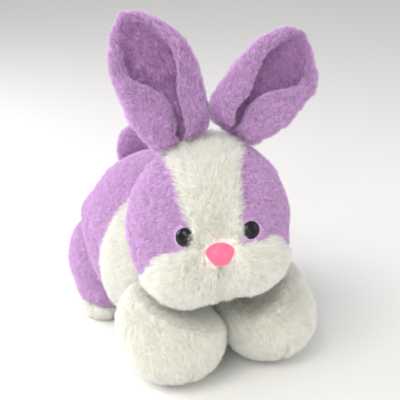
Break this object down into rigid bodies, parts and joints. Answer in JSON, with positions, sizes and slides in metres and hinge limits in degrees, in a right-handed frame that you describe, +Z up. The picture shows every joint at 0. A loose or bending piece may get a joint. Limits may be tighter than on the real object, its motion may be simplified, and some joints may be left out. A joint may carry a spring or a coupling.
{
  "type": "stuffed bunny rabbit",
  "caption": "Plush rabbit lying on its belly with its chin over its forepaws, upright ears, white blaze, cheeks and chest, and a moving head, ears, legs and tail.",
  "frame": {"origin": "on the floor, at the middle of the flat patch that the belly rests on, under the middle of the body", "axes": "the toy faces -Y, its own left is +X, and +Z is up"},
  "size_m": [0.1778, 0.2775, 0.2972],
  "materials": {
    "purple_plush": "plush",
    "ear_lining": "plush",
    "white_plush": "plush",
    "seam_tape": "matte",
    "stuffing": "matte",
    "eye_plastic": "polished",
    "washer_plastic": "satin",
    "nose_flock": "satin"
  },
  "bodies": {
    "torso": {"body_fill": "stuffing", "body_back_left": "purple_plush", "body_back_right": "purple_plush", "chest_panel": "white_plush", "belly_panel": "white_plush"},
    "neck": {"neck_seam": "seam_tape"},
    "head": {"head_fill": "stuffing", "head_side_left": "purple_plush", "head_side_right": "purple_plush", "head_blaze": "white_plush", "chin_panel": "white_plush", "head_back": "purple_plush", "cheek_left": "white_plush", "cheek_right": "white_plush", "eye_left": "eye_plastic", "eye_right": "eye_plastic", "eye_washer_left": "washer_plastic", "eye_washer_right": "washer_plastic", "nose": "nose_flock", "nose_washer": "washer_plastic"},
    "ear_left": {"ear_left_front": "ear_lining", "ear_left_wadding": "stuffing", "ear_left_back": "purple_plush"},
    "ear_right": {"ear_right_front": "ear_lining", "ear_right_wadding": "stuffing", "ear_right_back": "purple_plush"},
    "foreleg_left": {"foreleg_left_outer": "white_plush", "foreleg_left_inner": "white_plush", "foreleg_left_fill": "stuffing"},
    "foreleg_right": {"foreleg_right_outer": "white_plush", "foreleg_right_inner": "white_plush", "foreleg_right_fill": "stuffing"},
    "hind_left": {"haunch_left_outer": "purple_plush", "haunch_left_inner": "purple_plush", "haunch_left_fill": "stuffing", "hind_foot_left": "white_plush"},
    "hind_right": {"haunch_right_outer": "purple_plush", "haunch_right_inner": "purple_plush", "haunch_right_fill": "stuffing", "hind_foot_right": "white_plush"},
    "tail": {"tail_cover": "purple_plush", "tail_fill": "stuffing"}
  },
  "joints": [
    {"name": "head_turn", "type": "hinge", "parent": "torso", "child": "neck", "pos_m": [-0.006, -0.106, 0.132], "axis": [0, 0, 1], "range_deg": [-12, 42], "stiffness_Nm_per_rad": 0.25},
    {"name": "head_nod", "type": "hinge", "parent": "neck", "child": "head", "pos_m": [-0.006, -0.106, 0.132], "axis": [0.9498, -0.3086, 0.0523], "range_deg": [-20, 11], "stiffness_Nm_per_rad": 0.25},
    {"name": "ear_left_flop", "type": "hinge", "parent": "head", "child": "ear_left", "pos_m": [0.01556, -0.10775, 0.20821], "axis": [0.7316, -0.185, -0.6562], "range_deg": [-35, 30], "stiffness_Nm_per_rad": 0.03},
    {"name": "ear_right_flop", "type": "hinge", "parent": "head", "child": "ear_right", "pos_m": [-0.02806, -0.09358, 0.2043], "axis": [0.853, -0.3461, 0.3906], "range_deg": [-55, 30], "stiffness_Nm_per_rad": 0.03},
    {"name": "foreleg_left_swing", "type": "hinge", "parent": "torso", "child": "foreleg_left", "pos_m": [0.043, -0.1, 0.046], "axis": [1, 0, 0], "range_deg": [-8, 20], "stiffness_Nm_per_rad": 0.15},
    {"name": "foreleg_right_swing", "type": "hinge", "parent": "torso", "child": "foreleg_right", "pos_m": [-0.043, -0.1, 0.046], "axis": [1, 0, 0], "range_deg": [-8, 20], "stiffness_Nm_per_rad": 0.15},
    {"name": "hind_left_swing", "type": "hinge", "parent": "torso", "child": "hind_left", "pos_m": [0.04, 0.046, 0.044], "axis": [1, 0, 0], "range_deg": [-8, 8], "stiffness_Nm_per_rad": 0.15},
    {"name": "hind_right_swing", "type": "hinge", "parent": "torso", "child": "hind_right", "pos_m": [-0.04, 0.046, 0.044], "axis": [1, 0, 0], "range_deg": [-8, 8], "stiffness_Nm_per_rad": 0.15},
    {"name": "tail_wag", "type": "hinge", "parent": "torso", "child": "tail", "pos_m": [0, 0.08, 0.124], "axis": [0, 1, 0], "range_deg": [-15, 15], "stiffness_Nm_per_rad": 0.02}
  ]
}
